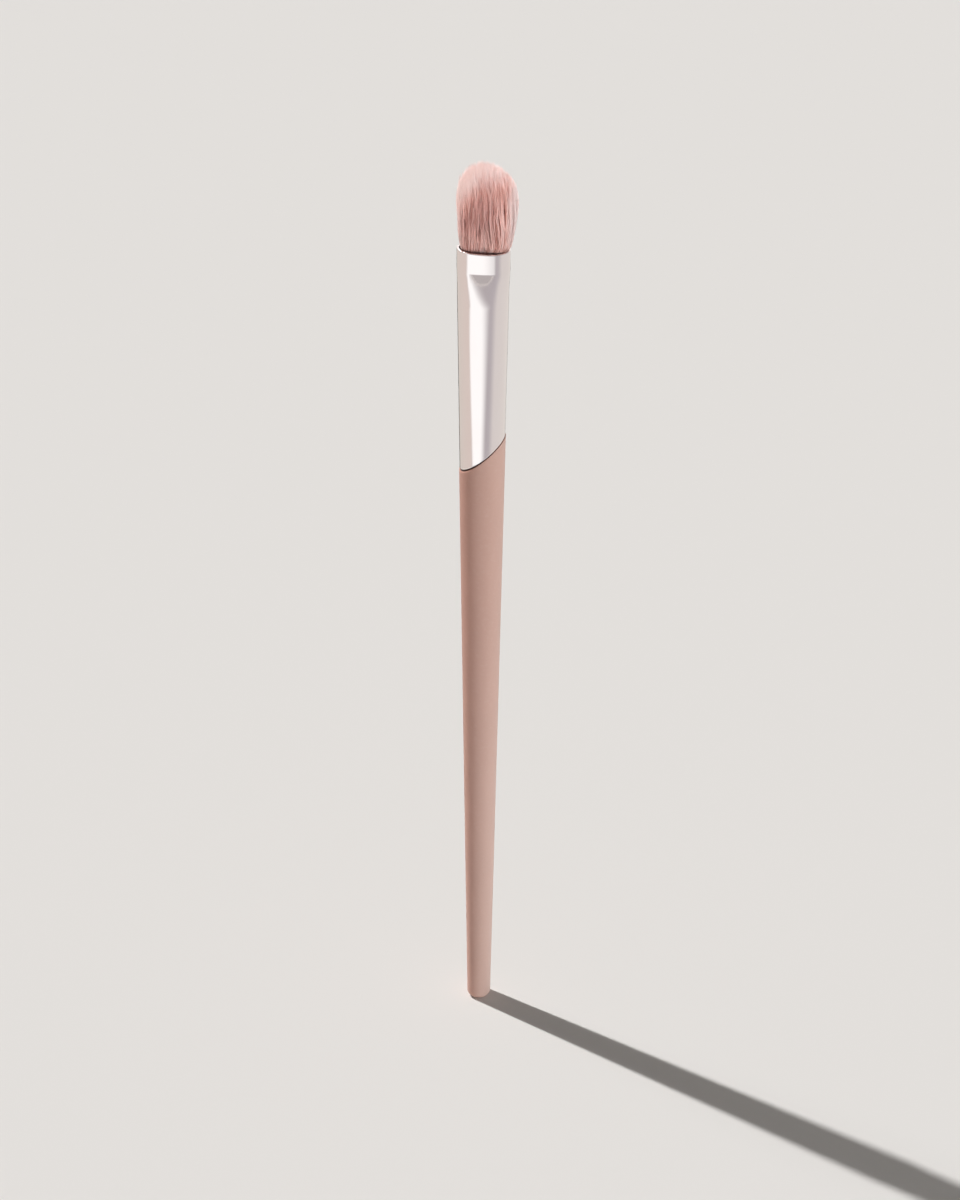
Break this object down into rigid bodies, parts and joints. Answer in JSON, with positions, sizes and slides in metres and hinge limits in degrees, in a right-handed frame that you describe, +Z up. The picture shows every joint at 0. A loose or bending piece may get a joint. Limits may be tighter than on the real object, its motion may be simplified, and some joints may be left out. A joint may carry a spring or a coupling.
{
  "type": "blending brush",
  "caption": "Slim make-up blending brush standing on its foot: oval domed fibre head in a pressed metal ferrule with a slanted seam, on a long tapered handle.",
  "frame": {"origin": "centre of the handle's flat foot, on the brush's axis", "axes": "+Z up along the axis from the foot to the head; X across the wide side, with the ferrule's slanted seam rising towards +X; -Y is the front that the picture shows"},
  "size_m": [0.0104, 0.008, 0.1751],
  "materials": {
    "handle_lacquer": "soft matte dusty pink lacquer over a moulded handle",
    "ferrule_metal": "polished, with a faint rose tint",
    "resin": "clear yellowish set resin",
    "thread": "waxed cotton thread",
    "fibre": "fine dyed synthetic fibres, paler at the tips"
  },
  "bodies": {
    "root": {"handle": "handle_lacquer", "ferrule": "ferrule_metal", "resin_plug": "resin", "binding_thread": "thread", "bristle_tuft": "fibre"}
  },
  "joints": []
}
